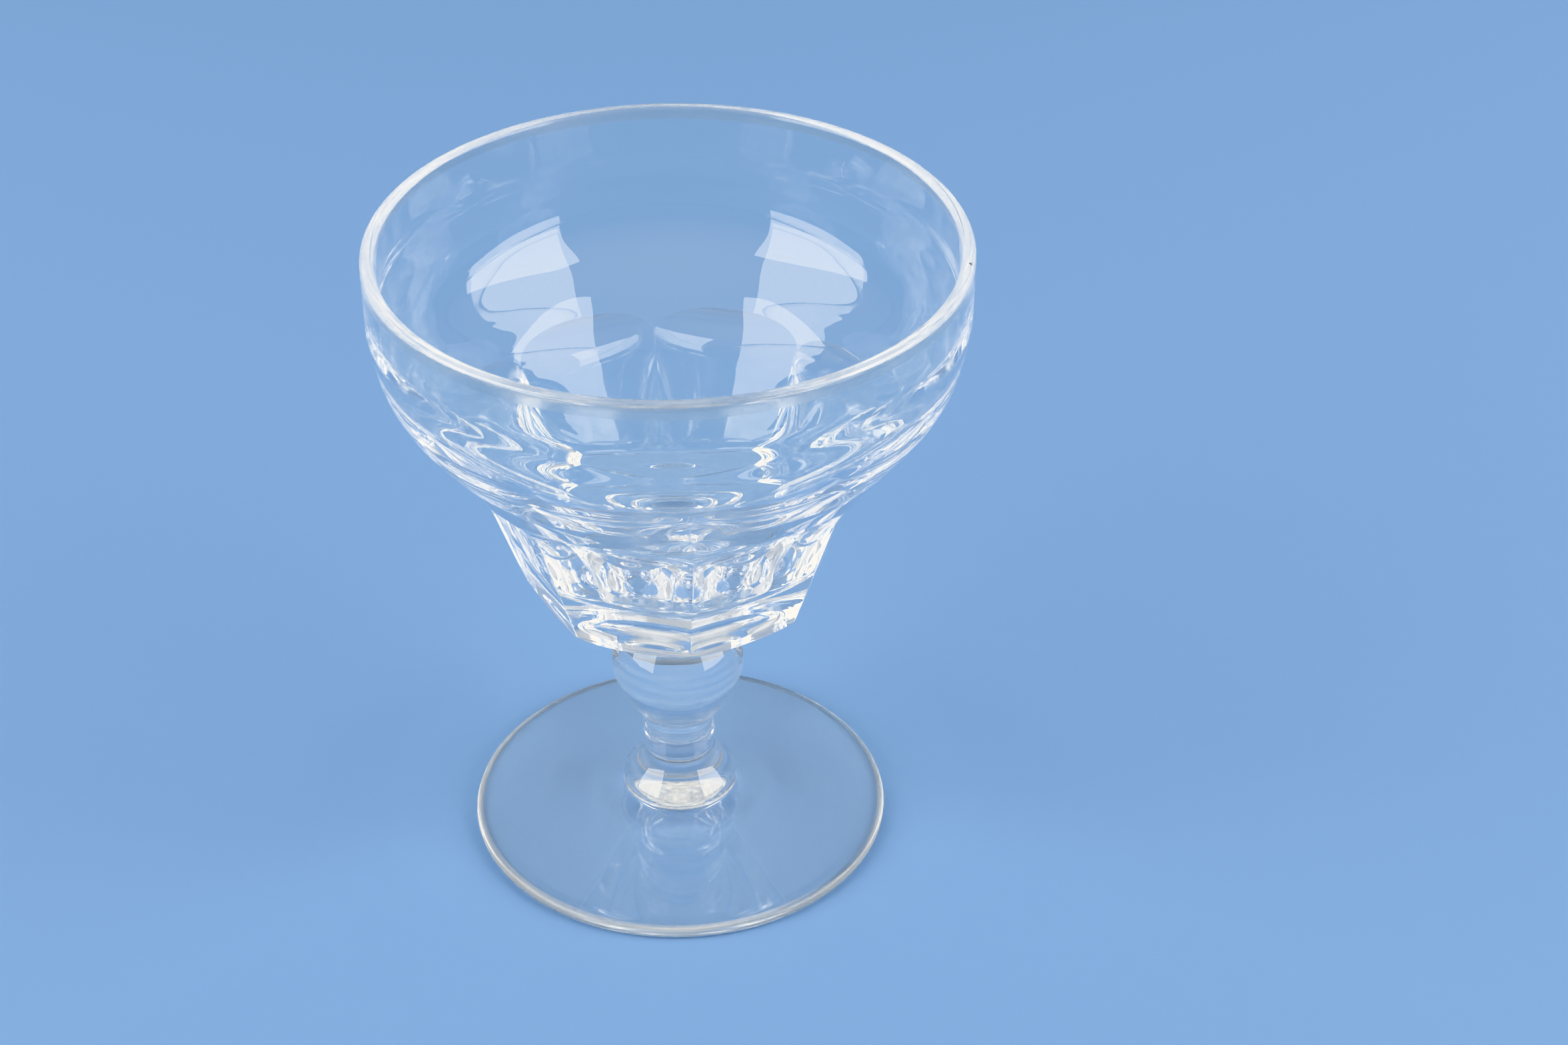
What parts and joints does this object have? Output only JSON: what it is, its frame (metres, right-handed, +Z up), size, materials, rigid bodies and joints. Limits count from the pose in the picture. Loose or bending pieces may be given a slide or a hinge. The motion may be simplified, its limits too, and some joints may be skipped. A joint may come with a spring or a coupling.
{
  "type": "rummer glass",
  "caption": "Footed drinking glass with a wide bucket bowl, a panel-cut lower cup, a ball knop stem and a plain disc foot.",
  "frame": {"origin": "centre of the foot's resting ring, on the table", "axes": "+Z up through the middle of the bowl; -Y towards the viewer, with one cut arris turned a few degrees from -Y towards +X"},
  "size_m": [0.1, 0.1, 0.1186],
  "materials": {
    "clear_glass": "clear, fire-polished, with cut and polished panels"
  },
  "bodies": {
    "root": {"bowl": "clear_glass", "stem_knop": "clear_glass", "foot_collar": "clear_glass", "foot": "clear_glass"}
  },
  "joints": []
}
